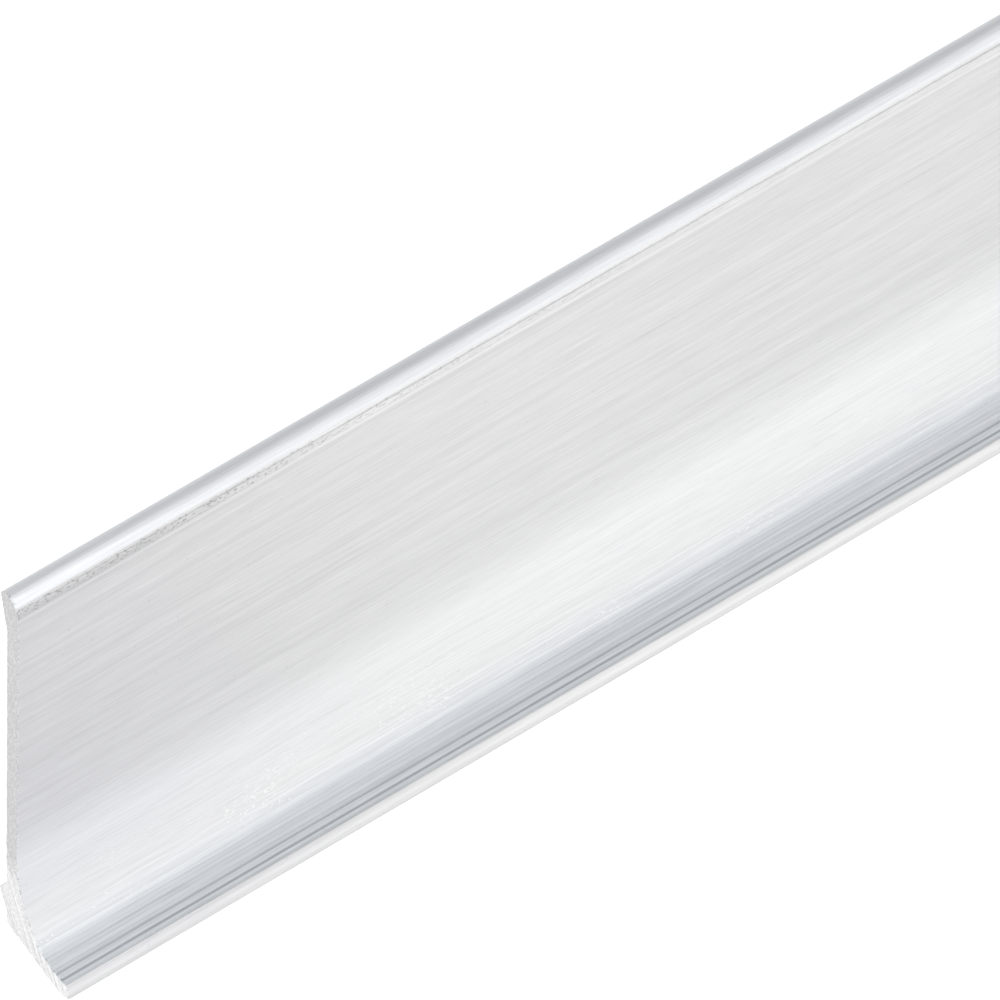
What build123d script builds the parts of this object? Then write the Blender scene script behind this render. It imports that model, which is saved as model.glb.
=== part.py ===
from build123d import *
import os

# Skirting profile, extruded in one piece from aluminium, in millimetres.
# The section lies in the YZ plane: the wall is at +Y, the room at -Y, the floor at Z = 0.
# The origin is at the middle of the box's bottom face, and X runs along the length.

# Length of the stock, sawn square at both ends
length = 2000.0

# Overall section: floor to the top of the bead, and wall plane to the front of the toe
height = 60.0
depth = 10.6

# Web, the upright plate, which stands off the wall by the glue's thickness
web_thickness = 1.6
glue_gap = 1.0

# Head: a round bead behind a small shoulder on the front, its back leaning out to the wall
shoulder_width = 0.2
shoulder_drop = 1.0
head_taper = 6.6

# Nib on the back of the foot, which meets the wall and keeps the glue's gap
nib_height = 4.9
nib_tip = 1.0
nib_slope = 2.1

# Foot: the front sweeps out in a cove of elliptical section, down to a shallow valley
cove_height = 11.0
cove_reach = 5.4
valley_thickness = 2.45

# Toe, the low lip along the front of the foot
toe_height = 2.95
toe_rounding = 0.25

# Small roundings that the die leaves
die_rounding = 0.3
shoulder_rounding = 0.15
blend_rounding = 1.0

# Places that follow from the dimensions
wall = depth / 2
front = -depth / 2
web_back = wall - glue_gap
web_front = web_back - web_thickness
web_middle = (web_back + web_front) / 2
bead_radius = (wall - web_front - shoulder_width) / 2
bead_y = wall - bead_radius
bead_z = height - bead_radius
shoulder_z = height - shoulder_drop
taper_z = height - head_taper
cove_y = web_front - cove_reach
cove_z = valley_thickness + cove_height
nib_low = nib_height - nib_tip / 2
nib_high = nib_height + nib_tip / 2


def foot_and_web():
    """Cove, toe, flat underside and the web's two faces, up to the shoulder."""
    cove = EllipticalCenterArc((cove_y, cove_z), cove_reach, cove_height, start_angle=-90, arc_size=90)
    flats = Polyline((cove_y, valley_thickness), (front, toe_height), (front, 0), (web_back, 0),
                     (web_back, shoulder_z), (web_front, shoulder_z), (web_front, cove_z))
    return make_face(Curve() + [cove, flats])


def head():
    """Round bead, with the wedge that carries it back to the wall plane."""
    bead = Pos(bead_y, bead_z) * Circle(bead_radius)
    wedge = Polyline((web_middle, taper_z), (web_back, taper_z), (wall, bead_z), (web_middle, bead_z),
                     close=True)
    return bead + make_face(wedge)


def nib():
    """Ridge with a flat tip in the wall plane, as far out as the bead's back."""
    ridge = Polyline((web_middle, nib_low - nib_slope), (web_back, nib_low - nib_slope), (wall, nib_low),
                     (wall, nib_high), (web_back, nib_high + nib_slope), (web_middle, nib_high + nib_slope),
                     close=True)
    return make_face(ridge)


def rounded(section, radius, *corners):
    """The section with the corners nearest to the given points rounded."""
    chosen = [section.vertices().sort_by_distance((*corner, 0))[0] for corner in corners]
    return fillet(chosen, radius)


section = foot_and_web() + head() + nib()
section = rounded(section, blend_rounding, (web_back, taper_z))
section = rounded(section, die_rounding, (web_back, 0), (front, 0), (wall, nib_low), (wall, nib_high))
section = rounded(section, min(toe_rounding, toe_height / 2), (front, toe_height))
section = rounded(section, min(shoulder_rounding, 0.8 * shoulder_width), (web_front, shoulder_z))

skirting_profile = extrude(Plane.YZ * section, length / 2, both=True)
skirting_profile.label = "skirting_profile"

os.makedirs("parts", exist_ok=True)
export_step(skirting_profile, "parts/skirting_profile.step")
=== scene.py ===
import bpy
import numpy as np
from mathutils import Matrix, Vector


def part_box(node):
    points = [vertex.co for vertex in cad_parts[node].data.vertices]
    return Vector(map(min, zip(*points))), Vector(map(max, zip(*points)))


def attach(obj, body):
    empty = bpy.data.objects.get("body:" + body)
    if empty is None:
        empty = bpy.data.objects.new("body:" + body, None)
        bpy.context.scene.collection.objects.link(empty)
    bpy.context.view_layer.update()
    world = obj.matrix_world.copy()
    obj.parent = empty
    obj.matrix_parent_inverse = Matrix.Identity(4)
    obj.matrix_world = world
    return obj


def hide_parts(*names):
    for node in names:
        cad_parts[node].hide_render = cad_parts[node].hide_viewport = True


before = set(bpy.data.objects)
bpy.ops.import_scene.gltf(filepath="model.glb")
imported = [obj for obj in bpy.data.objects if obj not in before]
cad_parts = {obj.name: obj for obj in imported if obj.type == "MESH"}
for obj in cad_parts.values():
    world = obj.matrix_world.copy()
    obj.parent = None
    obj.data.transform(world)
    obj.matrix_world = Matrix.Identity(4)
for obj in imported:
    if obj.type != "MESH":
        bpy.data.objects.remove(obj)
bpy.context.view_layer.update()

# Skirting profile, the whole object. One length of aluminium pressed hot through a die, so the same
# section runs from end to end, and then sawn square. It is free-standing: nothing is fixed to it.
# The section is in the YZ plane, with the wall at +Y, and X runs along the length.
MM = 0.001
low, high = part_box("skirting_profile")
wall, front, top = high.y, low.y, high.z
web_back = wall - 1.0 * MM
web_front = web_back - 1.6 * MM
bead_radius = 1.2 * MM
bead_centre = (wall - bead_radius, top - bead_radius)
shoulder_z = top - 1.0 * MM
shoulder_rounding = 0.15 * MM
taper_z = top - 6.6 * MM
taper_rounding = 1.0 * MM
nib_tip = (4.4 * MM, 5.4 * MM)
nib_root = (2.3 * MM, 7.5 * MM)
cove_reach, cove_height = 5.4 * MM, 11.0 * MM
valley_z = 2.45 * MM
cove_centre = (web_front - cove_reach, valley_z + cove_height)
cove_split = -50  # degrees on the cove's ellipse, where the upper foot's part meets the lower's
toe_height, toe_rounding = 2.95 * MM, 0.25 * MM
die_rounding = 0.3 * MM


def arc(centre, radii, start, stop, steps=96):
    """Points on an ellipse: centre + radii * (cos a, sin a), with a from start to stop in degrees."""
    a = np.radians(np.linspace(start, stop, steps))
    return np.stack([centre[0] + radii[0] * np.cos(a), centre[1] + radii[1] * np.sin(a)], 1)


def corner(before, point, after, radius, steps=13):
    """A corner rounded by the circle that touches both its sides. The centre is on the bisector,
    radius / sin(half the corner's angle) from the point, and the arc joins the two points of touch."""
    before, point, after = (np.array(p, float) for p in (before, point, after))
    u = (before - point) / np.linalg.norm(before - point)
    v = (after - point) / np.linalg.norm(after - point)
    half = np.arccos(np.clip(u @ v, -1, 1)) / 2
    centre = point + (u + v) / np.linalg.norm(u + v) * radius / np.sin(half)
    first = point + u * radius / np.tan(half) - centre
    last = point + v * radius / np.tan(half) - centre
    a = np.arctan2(first[1], first[0])
    turn = (np.arctan2(last[1], last[0]) - a + np.pi) % (2 * np.pi) - np.pi
    a = a + turn * np.linspace(0, 1, steps)
    return centre + radius * np.stack([np.cos(a), np.sin(a)], 1)


toe_base = corner((web_back, 0), (front, 0), (front, toe_height), die_rounding)
toe_base_middle = len(toe_base) // 2


def room_side():
    """From the bead's top down over shoulder, web, cove and toe to the middle of the toe's lower
    corner, in four parts: head, web, upper foot and lower foot."""
    rise = np.arcsin((shoulder_z - bead_centre[1]) / bead_radius)
    crease = (bead_centre[0] - bead_radius * np.cos(rise), shoulder_z)
    valley = (cove_centre[0], valley_z)
    head = np.vstack([
        arc(bead_centre, (bead_radius, bead_radius), 90, 180 - np.degrees(rise)),
        corner(crease, (web_front, shoulder_z), (web_front, 0), shoulder_rounding),
        [(web_front, taper_z)],
    ])
    web = np.array([(web_front, taper_z), (web_front, cove_centre[1])])
    upper_foot = arc(cove_centre, (cove_reach, cove_height), 0, cove_split)
    lower_foot = np.vstack([
        arc(cove_centre, (cove_reach, cove_height), cove_split, -90),
        corner(valley, (front, toe_height), (front, 0), toe_rounding),
        toe_base[:toe_base_middle - 1:-1],
    ])
    return head, web, upper_foot, lower_foot


def wall_side():
    """From the bead's top down over taper, web, nib and heel, and along the underside to the middle
    of the toe's lower corner, in four parts that are about level with the room side's."""
    root_low, root_high = (web_back, nib_root[0]), (web_back, nib_root[1])
    tip_low, tip_high = (wall, nib_tip[0]), (wall, nib_tip[1])
    taper = corner((wall, bead_centre[1]), (web_back, taper_z), root_high, taper_rounding)
    head = np.vstack([arc(bead_centre, (bead_radius, bead_radius), 90, 0), taper])
    web = np.array([taper[-1], (web_back, cove_centre[1])])
    upper_foot = np.vstack([
        [(web_back, cove_centre[1]), root_high],
        corner(root_high, tip_high, tip_low, die_rounding),
        corner(tip_high, tip_low, root_low, die_rounding),
        [root_low, (web_back, die_rounding)],
    ])
    lower_foot = np.vstack([
        corner(root_low, (web_back, 0), (front, 0), die_rounding),
        toe_base[:toe_base_middle + 1],
    ])
    return head, web, upper_foot, lower_foot


def walked(line):
    """Distance from a line's first point to each of its points, along the line."""
    return np.r_[0, np.cumsum(np.linalg.norm(np.diff(line, axis=0), axis=1))]


def evenly(line, count):
    """A line's points again, spaced evenly by the distance walked."""
    distance = walked(line)
    even = np.linspace(0, distance[-1], count)
    return np.stack([np.interp(even, distance, line[:, 0]), np.interp(even, distance, line[:, 1])], 1)


# Both sides have as many points in each part, so that the sawn end can be ruled straight across from
# one to the other. They share their first and last points.
steps = (0.05 * MM, 0.08 * MM, 0.05 * MM, 0.05 * MM)
room_line, wall_line = [], []
for room_part, wall_part, step in zip(room_side(), wall_side(), steps):
    count = int(max(walked(room_part)[-1], walked(wall_part)[-1]) / step) + 2
    room_line.append(evenly(room_part, count)[:-1])
    wall_line.append(evenly(wall_part, count)[:-1])
last_point = toe_base[toe_base_middle][None]
room_line = np.vstack([*room_line, last_point])
wall_line = np.vstack([*wall_line, last_point])
rows = len(room_line)
ring = np.vstack([room_line, wall_line[-2:0:-1]])
ring_size = len(ring)
ring_y, ring_z = ring.T
on_room_side = np.arange(ring_size) < rows

tangent = np.roll(ring, -1, 0) - np.roll(ring, 1, 0)
outward = np.stack([tangent[:, 1], -tangent[:, 0]], 1)
outward /= np.linalg.norm(outward, axis=1)[:, None]

around = walked(np.vstack([ring, ring[:1]]))
fine = np.linspace(0, around[-1], int(around[-1] / (0.02 * MM)))
fine_step = fine[1]


def bell(distance, width):
    """A bell curve, 1 in the middle: exp(-(distance / width)^2)."""
    return np.exp(-(distance / width) ** 2)


def blurred_noise(size, width, seed):
    """Random numbers from a seed, blurred by a bell curve of the given width in samples, with a
    spread of 1."""
    raw = np.random.default_rng(seed).normal(size=size)
    reach = np.fft.rfftfreq(size) * width
    soft = np.fft.irfft(np.fft.rfft(raw) * np.exp(-2 * (np.pi * reach) ** 2), size)
    return soft / soft.std()


def noise_around(width, seed):
    """Blurred noise at each point of the ring, its width a distance along the ring."""
    return np.interp(around[:-1], fine, blurred_noise(len(fine), width / fine_step, seed))


# Die lines: the die's edge is never quite smooth, and draws its scratches along the whole length, in
# lines of three widths. The relief is mostly a few thousandths of a millimetre, and the same lines
# show lighter and darker in the metal.
relief = np.zeros(ring_size)
dull_lines = np.zeros(ring_size)
for seed, (width, depth, share) in enumerate([(0.05, 0.001, 1.0), (0.16, 0.002, 0.35),
                                              (0.7, 0.003, 0.1)]):
    line_noise = noise_around(width * MM, seed)
    relief += depth * MM * line_noise
    dull_lines += share * line_noise

# Share of dark metal, from clean at 0 to dark at 1, at each point of the ring, partly real marks
# and partly painted shade. The foot is darkest, from the toe to the bottom of the cove: painted shade
# by the distance from the toe's front, bands darker or lighter than that, deep narrow score lines,
# and the die lines' own pattern.
from_toe = (ring_y - front) / MM
on_foot = on_room_side & (ring_z < 6 * MM) & (outward[:, 1] > 0.1)
foot_shade_and_scores = np.interp(from_toe, [0.0, 1.6, 2.2, 3.0, 3.6, 4.8, 6.5],
                   [0.36, 0.46, 0.36, 0.34, 0.30, 0.20, 0.06])
for place, width, share in ((0.60, 0.12, -0.30), (0.90, 0.13, 0.31), (1.48, 0.12, -0.10),
                            (1.78, 0.13, 0.20), (2.50, 0.25, -0.20), (3.17, 0.12, 0.15)):
    foot_shade_and_scores += share * bell(from_toe - place, width)
deep_lines = sum(bell(from_toe - place, 0.05) for place in (0.2, 0.85, 1.6))
deep_lines += np.clip(noise_around(0.045 * MM, 5) - 1, 0, 1)
spread = np.interp(from_toe, [0.0, 1.6, 3.0, 6.0], [0.08, 0.10, 0.07, 0.03])
dull_and_shade = np.where(on_foot, foot_shade_and_scores + 0.24 * deep_lines * (from_toe < 4.5) + spread * dull_lines,
                0.05 + 0.015 * dull_lines)

# The web is painted darker than the cove, as painted shade, and meets it in a soft change. It is
# less dark again close under the head, but for darker lines there. The toe's front is painted
# darker, most at its lower edge, and the bead a little darker on its top: painted shade as well.
drop = (top - ring_z) / MM
on_web = on_room_side & (ring_z < shoulder_z)
web_shade_above_cove = np.interp(ring_z / MM, [11, 14, 17, 20, 25], [0, 0.11, 0.24, 0.33, 0.40])
web_shade_under_head = np.interp(drop, [1.0, 1.2, 1.6, 2.2, 3.0], [0.16, 0.28, 0.24, 0.25, 0.40])
dull_and_shade += on_web * np.minimum(web_shade_above_cove, web_shade_under_head)
# Darker lines under the head: the one 1.05 mm down is painted shade in the crease; the two lower ones
# are only darker lines.
for line_drop, width, share in ((1.05, 0.07, 0.08), (1.75, 0.06, 0.16), (3.0, 0.4, 0.08)):
    dull_and_shade += on_web * share * bell(drop - line_drop, width)
# Painted shadow on the toe's front: darker toward the floor, most at its lower edge.
on_toe_front = on_web & (outward[:, 1] < 0.1) & (ring_z < 3 * MM)
dull_and_shade += on_toe_front * np.interp(ring_z / MM, [0.4, 1.3, 1.7, 2.0, 2.4],
                                 [0.44, 0.30, 0.20, 0.20, 0.30])
# Painted shade on the bead's top, which faces up.
turn = np.degrees(np.arctan2(outward[:, 1], -outward[:, 0]))
dull_and_shade += (ring_z > shoulder_z) * 0.13 * bell(turn - 82, 20)

# The metal swells a little under the crease, and hollows below that.
bulge = 0.09 * MM * bell(drop - 1.8, 0.65)
hollow = 0.03 * MM * bell(drop - 3.2, 0.6)
swell = np.where(on_web, bulge - hollow, 0)
swept_ring = ring + outward * (relief - relief.max() + swell)[:, None]

# The faces along the length run from saw cut to saw cut. Their stations are close together at the
# ends, where the saw has left a burr, and far apart between.
half_length = (high.x - low.x) / 2
from_end = np.array([0, 0.06, 0.16, 0.4, 1.2]) * MM
between = np.linspace(-half_length, half_length, 8)[1:-1]
stations = np.r_[from_end - half_length, between, half_length - from_end[::-1]]
side_points = np.dstack([np.repeat(stations[:, None], ring_size, 1),
                         np.repeat(swept_ring[None], len(stations), 0)])

# Saw marks on both cuts, in arcs of about 180 mm radius about the blade's centre.
blade_centre = np.array([-175 * MM, 80 * MM])
ring_reach = np.linalg.norm(swept_ring - blade_centre, axis=1)
blade_reach = np.linspace(ring_reach.min(), ring_reach.max(), 4000)
score_step = blade_reach[1] - blade_reach[0]
scores = 0.012 * MM * blurred_noise(4000, 0.22 * MM / score_step, 11)
scores += 0.006 * MM * blurred_noise(4000, 0.07 * MM / score_step, 12)


def saw_marks(points):
    """Height of the cut face at points of the section, zero at the highest: noise by distance from
    the blade's centre, so that the broad scores and the fine ones run in arcs."""
    reach = np.linalg.norm(points - blade_centre, axis=-1)
    return np.interp(reach, blade_reach, scores - scores.max())


def burr(seed):
    """How far the saw has pushed the metal out past each point of the ring: spikes, where a blurred
    noise rises over 0.6 of its spread, and largest low down on the cove and the toe's top."""
    spikes = np.clip(blurred_noise(ring_size, 2.0, seed) - 0.6, 0, 2)
    low_down = np.clip(1 - ring_z / (5 * MM), 0, 1) * (outward[:, 1] > 0.3)
    return (0.03 + 0.06 * low_down) * MM * spikes


def worn(points):
    """How far the cut is set back near the toe's lower corner, which is knocked round: a bell that
    is 0.45 mm high at the corner."""
    return 0.45 * MM * bell(np.linalg.norm(points - (front, 0), axis=-1), 0.55 * MM)


# Both ends are worn and burred. No burr stands past the faces that touch the wall and the floor, or
# past the toe's front and the bead's top.
for end, inward, seed in ((0, 1, 21), (-1, -1, 22)):
    side_points[end, :, 0] -= inward * saw_marks(swept_ring)
    for step, distance in enumerate(from_end):
        set_back = worn(swept_ring) * (1 - distance / from_end[-1])
        side_points[end + inward * step, :, 0] += inward * set_back
    push = burr(seed)[:, None] * outward
    side_points[end, :, 1:] += push
    side_points[end + inward, :, 1:] += push * 0.4
side_points[..., 1] = np.clip(side_points[..., 1], front, wall)
side_points[..., 2] = np.clip(side_points[..., 2], 0, top)

index = np.arange(len(stations) * ring_size).reshape(len(stations), ring_size)
after = np.roll(index, -1, 1)
side_faces = np.stack([index[:-1], after[:-1], after[1:], index[1:]], 2).reshape(-1, 4)


def sawn_end(end, first_index):
    """The cut face, a grid ruled straight across from the room line to the wall line,
    room * (1 - v) + wall * v, and pressed in along X by the saw marks and the wear. The bead's top
    and the toe's corner close it in triangles."""
    across = 13
    ring_rows = np.arange(rows)
    wall_rows = (ring_size - ring_rows) % ring_size
    grid = np.empty((rows, across + 1), int)
    grid[:, 0] = index[end][ring_rows]
    grid[:, -1] = index[end][wall_rows]
    inner = np.arange((rows - 2) * (across - 1)).reshape(rows - 2, across - 1)
    grid[1:-1, 1:-1] = first_index + inner
    grid[0], grid[-1] = index[end][0], index[end][rows - 1]
    v = np.linspace(0, 1, across + 1)[1:-1][None, :, None]
    room_points = swept_ring[ring_rows[1:-1]][:, None]
    flat = (room_points * (1 - v) + swept_ring[wall_rows[1:-1]][:, None] * v).reshape(-1, 2)
    x = np.sign(stations[end]) * (half_length + saw_marks(flat) - worn(flat))
    faces = np.stack([grid[:-1, :-1], grid[1:, :-1], grid[1:, 1:], grid[:-1, 1:]], 2).reshape(-1, 4)
    if stations[end] < 0:
        faces = faces[:, ::-1]
    return np.column_stack([x, flat]), [tuple(dict.fromkeys(face)) for face in faces.tolist()]


left_points, left_faces = sawn_end(0, index.size)
right_points, right_faces = sawn_end(-1, index.size + len(left_points))
mesh = bpy.data.meshes.new("skirting_extrusion")
mesh.from_pydata(
    np.vstack([side_points.reshape(-1, 3), left_points, right_points]).tolist(), [],
    side_faces.tolist() + left_faces + right_faces)
is_sawn = np.arange(len(mesh.polygons)) >= len(side_faces)
mesh.polygons.foreach_set("material_index", is_sawn.astype(int))
mesh.shade_smooth()

# The cuts' edges stay sharp. All else is rounded in the mesh itself.
ends = np.empty(len(mesh.edges) * 2, int)
mesh.edges.foreach_get("vertices", ends)
ends = ends.reshape(-1, 2)
on_cut = np.zeros(len(mesh.vertices), bool)
on_cut[index[0]] = True
on_cut[index[-1]] = True
sharp = mesh.attributes.new("sharp_edge", "BOOLEAN", "EDGE")
sharp.data.foreach_set("value", on_cut[ends].all(1))
mesh.update()
skirting = bpy.data.objects.new("skirting_extrusion", mesh)
bpy.context.scene.collection.objects.link(skirting)


def colour(code, alpha=1.0):
    """sRGB hex code to the linear colour that a shader takes."""
    srgb = np.array([int(code[i:i + 2], 16) for i in (1, 3, 5)]) / 255
    linear = np.where(srgb <= 0.04045, srgb / 12.92, ((srgb + 0.055) / 1.055) ** 2.4)
    return (*linear.tolist(), alpha)


def node(tree, kind, links=None, **settings):
    """Adds a node. settings are the node's own, and links gives each named input a value or another
    node's output."""
    made = tree.nodes.new(kind)
    for name, value in settings.items():
        setattr(made, name, value)
    for name, source in (links or {}).items():
        if hasattr(source, "is_output"):
            tree.links.new(source, made.inputs[name])
        else:
            made.inputs[name].default_value = source
    return made


def maths(tree, operation, *values):
    """One step of arithmetic."""
    return node(tree, "ShaderNodeMath", dict(enumerate(values)), operation=operation).outputs[0]


def ranged(tree, value, start, stop, first=0.0, last=1.0, change="LINEAR"):
    """A value's range from start to stop, turned into the range from first to last and kept to it."""
    return node(tree, "ShaderNodeMapRange", {"Value": value, "From Min": start, "From Max": stop,
                                             "To Min": first, "To Max": last},
                interpolation_type=change).outputs[0]


def between_colours(tree, share, first, last):
    """The first colour at share 0, the last at share 1. Each is a hex code or a node's output."""
    first, last = (colour(c) if isinstance(c, str) else c for c in (first, last))
    return node(tree, "ShaderNodeMix", {"Factor": share, 6: first, 7: last},
                data_type="RGBA").outputs[2]


def empty_tree(owner):
    """The node tree of a material or a world, emptied."""
    owner.use_nodes = True
    owner.node_tree.nodes.clear()
    return owner.node_tree


def mill_aluminium():
    """Aluminium as it leaves the die: bright, not polished, with fine lines along the length. The
    lines spread the gloss across the piece and keep it narrow along it."""
    material = bpy.data.materials.new("mill_finish_aluminium")
    tree = empty_tree(material)
    place = node(tree, "ShaderNodeTexCoord").outputs["Object"]
    spot = node(tree, "ShaderNodeSeparateXYZ", {"Vector": place}).outputs

    def noise(size, detail=0.0):
        """Noise whose grain has the given size along X, Y and Z in millimetres."""
        scale = tuple(1 / (v * MM) for v in size)
        stretched = node(tree, "ShaderNodeMapping", {"Vector": place, "Scale": scale})
        return node(tree, "ShaderNodeTexNoise", {"Vector": stretched.outputs[0], "Scale": 1.0,
                                                 "Detail": detail}).outputs["Fac"]

    def near(height, core, edge):
        """1 up to core from a height, and 0 from edge on."""
        away = maths(tree, "ABSOLUTE", maths(tree, "SUBTRACT", spot["Z"], height))
        return ranged(tree, away, core, edge, 1.0, 0.0)

    # Fine lines along the length, each 4 to 12 mm long, over the points' dark share, partly painted
    # shade.
    streak = noise((12, 0.13, 0.13), 2.0)
    scratch = noise((4, 0.09, 0.09), 1.0)
    lines = maths(tree, "ADD", ranged(tree, streak, 0.3, 0.7, -0.04, 0.07),
                  ranged(tree, scratch, 0.3, 0.7, -0.08, 0.08))
    dull_and_shade_share = node(tree, "ShaderNodeAttribute", attribute_name="dull_and_shade_share").outputs["Fac"]
    fade = ranged(tree, noise((25, 0.8, 0.8)), 0.3, 0.7, 0.93, 1.07)
    share = maths(tree, "MULTIPLY_ADD", dull_and_shade_share, fade, lines)

    # Nicks in and close under the crease below the bead, thick near the left end and fewer along the
    # length. At the left end the strip that they lie on is painted darker, as painted shade.
    room_face = ranged(tree, spot["Y"], web_front + 0.3 * MM, web_front + 0.6 * MM, 1.0, 0.0)
    in_crease = maths(tree, "MULTIPLY", near(top - 1.4 * MM, 0.2 * MM, 0.65 * MM), room_face)
    nick = ranged(tree, noise((0.35, 0.2, 0.2), 2.0), 0.57, 0.63, 0.0, 0.9)
    fewer = ranged(tree, spot["X"], low.x + 8 * MM, low.x + 65 * MM, 1.0, 0.25)
    nick = maths(tree, "MULTIPLY", nick, fewer)
    share = maths(tree, "MULTIPLY_ADD", in_crease, nick, share)
    on_strip = maths(tree, "MULTIPLY", near(top - 1.55 * MM, 0.7 * MM, 0.95 * MM), room_face)
    left_end_shade = ranged(tree, spot["X"], low.x + 12 * MM, low.x + 34 * MM, 0.28, 0.0)
    share = maths(tree, "MULTIPLY_ADD", on_strip, left_end_shade, share)

    # Scars, short dark cuts here and there, and a torn edge at both saw cuts.
    scar = ranged(tree, noise((0.2, 0.2, 0.5)), 0.84, 0.88, 0.0, 0.25)
    share = maths(tree, "ADD", share, scar)
    at_cut = ranged(tree, maths(tree, "ABSOLUTE", spot["X"]), half_length - 0.25 * MM,
                    half_length - 0.05 * MM)
    torn = ranged(tree, noise((0.3, 0.3, 0.3), 1.0), 0.48, 0.62, -0.2, 0.6)
    share = maths(tree, "MULTIPLY_ADD", at_cut, torn, share)
    share = ranged(tree, share, 0.0, 1.0)

    # Crumbs of bright metal low in the cove, in clusters, and a few on the toe.
    crumbs = maths(tree, "MULTIPLY_ADD", noise((9, 4, 4), 1.0), 0.6, noise((0.3, 0.2, 0.2)))
    in_cove = maths(tree, "MULTIPLY", ranged(tree, spot["Z"], 2.9 * MM, 3.4 * MM, 0.15, 1.0),
                    ranged(tree, spot["Z"], 7 * MM, 11 * MM, 1.0, 0.0))
    crumbs = maths(tree, "MULTIPLY", ranged(tree, crumbs, 1.06, 1.15), in_cove)

    # The tops of the foot and of the bead, which face up, are painted a cooler grey: painted sky
    # reflection.
    foot_top = maths(tree, "MULTIPLY", ranged(tree, spot["Z"], 3 * MM, 4.4 * MM, 1.0, 0.0),
                     ranged(tree, spot["Y"], front + 0.1 * MM, front + 0.3 * MM))
    bead_top = ranged(tree, spot["Z"], top - 1.0 * MM, top - 0.4 * MM)
    sky_tint_share = maths(tree, "MAXIMUM", foot_top, bead_top)
    clean_tint = between_colours(tree, sky_tint_share, "#FAFAFA", "#F6F8FB")
    # At share 1 the dark tint gives both the real lines and the painted shade.
    dull_and_shade_tint = between_colours(tree, sky_tint_share, "#B3B3B3", "#ABB2B8")
    tint = between_colours(tree, share, clean_tint, dull_and_shade_tint)
    tint = between_colours(tree, crumbs, tint, "#FFFFFF")
    bump = node(tree, "ShaderNodeBump", {"Height": streak, "Strength": 1.0, "Distance": 0.003 * MM})
    axis = node(tree, "ShaderNodeTangent", direction_type="RADIAL", axis="X")
    metal = node(tree, "ShaderNodeBsdfPrincipled", {
        "Base Color": tint, "Metallic": 1.0, "Roughness": ranged(tree, streak, 0.0, 1.0, 0.44, 0.52),
        "Normal": bump.outputs[0], "Anisotropic": 0.8, "Tangent": axis.outputs[0]})
    node(tree, "ShaderNodeOutputMaterial", {"Surface": metal.outputs[0]})
    return material


def sawn_aluminium():
    """Aluminium cut by a saw blade: a plain grey, marked by the teeth in arcs about the blade's
    centre, most on the foot, with torn specks that glint."""
    material = bpy.data.materials.new("sawn_aluminium")
    tree = empty_tree(material)
    place = node(tree, "ShaderNodeTexCoord").outputs["Object"]
    from_blade = node(tree, "ShaderNodeVectorMath", {0: place, 1: (0, *blade_centre)},
                      operation="SUBTRACT").outputs[0]
    in_plane = node(tree, "ShaderNodeVectorMath", {0: from_blade, 1: (0, 1, 1)},
                    operation="MULTIPLY").outputs[0]
    reach = node(tree, "ShaderNodeVectorMath", {0: in_plane}, operation="LENGTH").outputs["Value"]
    score = node(tree, "ShaderNodeTexNoise", {"W": reach, "Scale": 1 / (0.45 * MM), "Detail": 2.0},
                 noise_dimensions="1D").outputs["Fac"]
    grit = node(tree, "ShaderNodeTexNoise", {"Vector": place, "Scale": 1 / (0.3 * MM),
                                             "Detail": 3.0}).outputs["Fac"]
    height = node(tree, "ShaderNodeSeparateXYZ", {"Vector": place}).outputs["Z"]
    on_foot_end = ranged(tree, height, 9 * MM, 14 * MM, 1.0, 0.3)
    marks = maths(tree, "MULTIPLY_ADD", score, on_foot_end, grit)
    tint = between_colours(tree, ranged(tree, marks, 0.58, 1.20), "#CACACA", "#FFFFFF")
    bump = node(tree, "ShaderNodeBump", {"Height": marks, "Strength": 1.0, "Distance": 0.03 * MM})
    metal = node(tree, "ShaderNodeBsdfPrincipled", {
        "Base Color": tint, "Metallic": 1.0, "Roughness": 0.42, "Normal": bump.outputs[0]})
    node(tree, "ShaderNodeOutputMaterial", {"Surface": metal.outputs[0]})
    return material


# The dark share, real lines and painted shade together, goes on the points of the swept faces.
dullness_and_shade = np.zeros(len(mesh.vertices))
dullness_and_shade[:index.size] = np.tile(dull_and_shade, len(stations))
mesh.attributes.new("dull_and_shade_share", "FLOAT", "POINT").data.foreach_set("value", dullness_and_shade)
mesh.materials.append(mill_aluminium())
mesh.materials.append(sawn_aluminium())
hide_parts("skirting_profile")
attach(skirting, "root")

# Floor, a plain white studio table that runs far past the piece and keeps its shadow. The camera
# sees it lit up to white. The metal mirrors it with less light in front of the left end, a little
# violet there, and with the most to the right.
floor_reach = 60.0
floor_mesh = bpy.data.meshes.new("floor")
floor_mesh.from_pydata([(-floor_reach, -floor_reach, 0), (floor_reach, -floor_reach, 0),
                        (floor_reach, floor_reach, 0), (-floor_reach, floor_reach, 0)], [],
                       [(0, 1, 2, 3)])
floor = bpy.data.objects.new("floor", floor_mesh)
bpy.context.scene.collection.objects.link(floor)
paint = bpy.data.materials.new("white_table")
tree = empty_tree(paint)
rays = node(tree, "ShaderNodeLightPath").outputs
matt = node(tree, "ShaderNodeBsdfDiffuse", {"Color": colour("#F2F2F2")})
place = node(tree, "ShaderNodeTexCoord").outputs["Object"]
spot = node(tree, "ShaderNodeSeparateXYZ", {"Vector": place}).outputs
along = ranged(tree, spot["X"], low.x + 8 * MM, low.x + 75 * MM, 0.145, 0.42, "SMOOTHSTEP")
past_toe = ranged(tree, spot["Y"], front - 5 * MM, front - 1 * MM, change="SMOOTHSTEP")
light_there = node(tree, "ShaderNodeMix", {"Factor": past_toe, 2: along, 3: 0.34}).outputs[0]
mirrored = maths(tree, "ADD", rays["Is Glossy Ray"], rays["Is Transmission Ray"])
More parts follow.
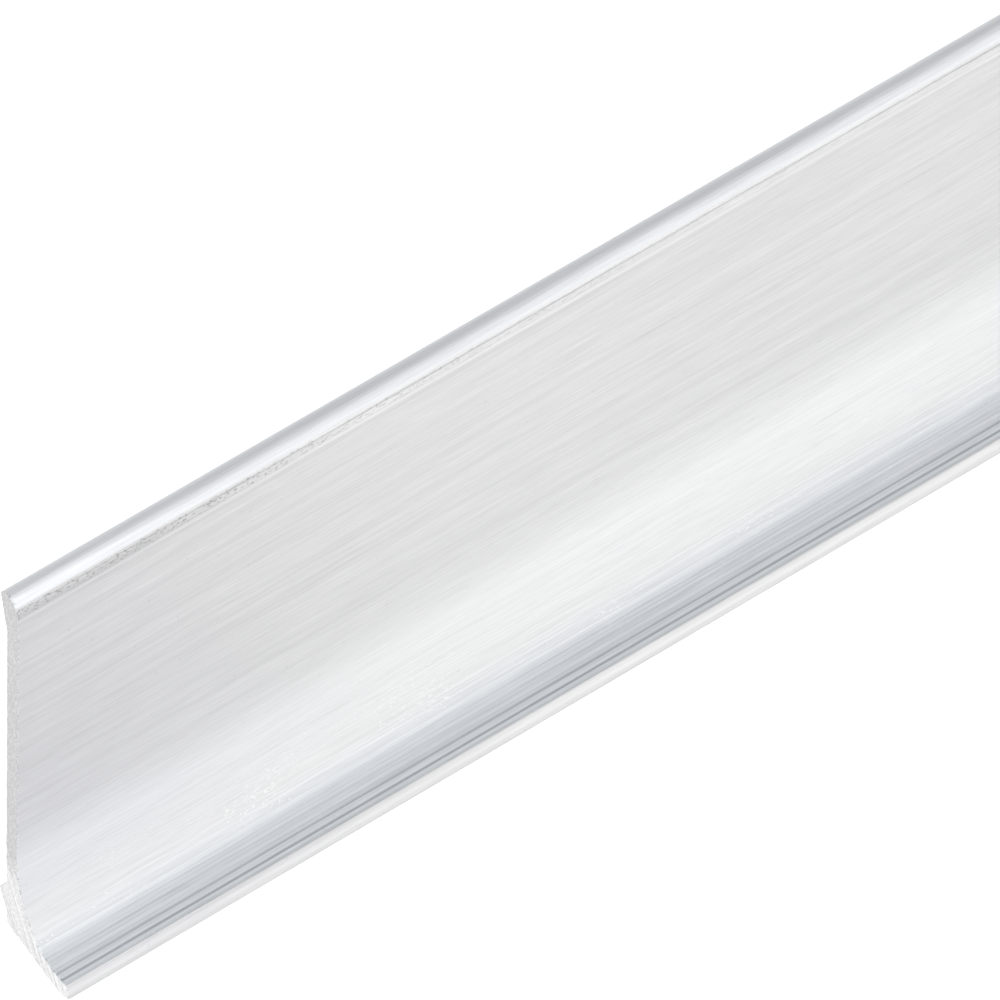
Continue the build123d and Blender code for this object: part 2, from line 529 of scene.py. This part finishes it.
seen = maths(tree, "MULTIPLY", rays["Is Camera Ray"], 0.62)
lift = maths(tree, "MULTIPLY_ADD", mirrored, light_there, seen)
to_the_right = ranged(tree, spot["X"], low.x + 14 * MM, low.x + 40 * MM)
whiteness = maths(tree, "MAXIMUM", to_the_right, past_toe)
glow_tint = between_colours(tree, whiteness, "#CCCCFF", "#FFFFFF")
glow_tint = between_colours(tree, rays["Is Camera Ray"], glow_tint, "#FFFFFF")
glow = node(tree, "ShaderNodeEmission", {"Color": glow_tint, "Strength": lift})
both = node(tree, "ShaderNodeAddShader", {0: matt.outputs[0], 1: glow.outputs[0]})
node(tree, "ShaderNodeOutputMaterial", {"Surface": both.outputs[0]})
floor_mesh.materials.append(paint)

# Light, a white room. By the angle over the front horizon, it is bright in front, dimmest overhead,
# and between the two behind. The camera sees it white.
world = bpy.data.worlds.new("studio")
bpy.context.scene.world = world
tree = empty_tree(world)
rays = node(tree, "ShaderNodeLightPath").outputs
way = node(tree, "ShaderNodeTexCoord").outputs["Generated"]
split = node(tree, "ShaderNodeSeparateXYZ", {"Vector": way}).outputs
angle = maths(tree, "ARCTAN2", split["Z"], maths(tree, "MULTIPLY", split["Y"], -1.0))
front_light = ranged(tree, angle, np.radians(70), np.radians(100), 1.09, 0.50, "SMOOTHSTEP")
back_light = ranged(tree, angle, np.radians(130), np.radians(160), 0.0, 0.17, "SMOOTHSTEP")
level = maths(tree, "ADD", front_light, back_light)
shown = maths(tree, "MAXIMUM", level, rays["Is Camera Ray"])
sky = node(tree, "ShaderNodeBackground", {"Color": colour("#FFFFFF"), "Strength": shown})
node(tree, "ShaderNodeOutputWorld", {"Surface": sky.outputs[0]})


def lamp(name, position, aim, size, watts):
    """A square soft box at a position, turned to face the aim."""
    data = bpy.data.lights.new(name, "AREA")
    data.size = size
    data.energy = watts
    made = bpy.data.objects.new(name, data)
    made.location = position
    made.rotation_mode = "QUATERNION"
    made.rotation_quaternion = (Vector(aim) - Vector(position)).to_track_quat("-Z", "Y")
    made.visible_camera = False
    bpy.context.scene.collection.objects.link(made)


lamp("left_soft_box", (low.x - 0.09, -0.44, 0.28), (low.x, 0, 0.05), 0.55, 0.2)
lamp("head_soft_box", (low.x + 0.008, wall - 0.027, top + 0.053), (low.x - 0.010, wall, top), 0.04,
     0.003)

# Camera, at the photo's viewing angle: a long lens that looks down on the room side's left end.
elevation, heading, roll = np.radians([61.03, 36.70, 2.91])
distance = 1.6166
aim = Vector((low.x + 50.6 * MM, web_front, 28.8 * MM))
ahead = Vector((np.sin(heading) * np.cos(elevation), np.cos(heading) * np.cos(elevation),
                -np.sin(elevation)))
level_right = Vector((np.cos(heading), -np.sin(heading), 0))
level_up = level_right.cross(ahead)
right = level_right * np.cos(roll) + level_up * np.sin(roll)
upright = level_up * np.cos(roll) - level_right * np.sin(roll)
lens = bpy.data.cameras.new("camera")
lens.sensor_width = 36
lens.lens = 666
camera = bpy.data.objects.new("camera", lens)
camera.rotation_mode = "QUATERNION"
camera.rotation_quaternion = Matrix((right, upright, -ahead)).transposed().to_quaternion()
camera.location = aim - ahead * distance
bpy.context.scene.collection.objects.link(camera)
bpy.context.scene.camera = camera
bpy.context.scene.view_settings.view_transform = "Standard"
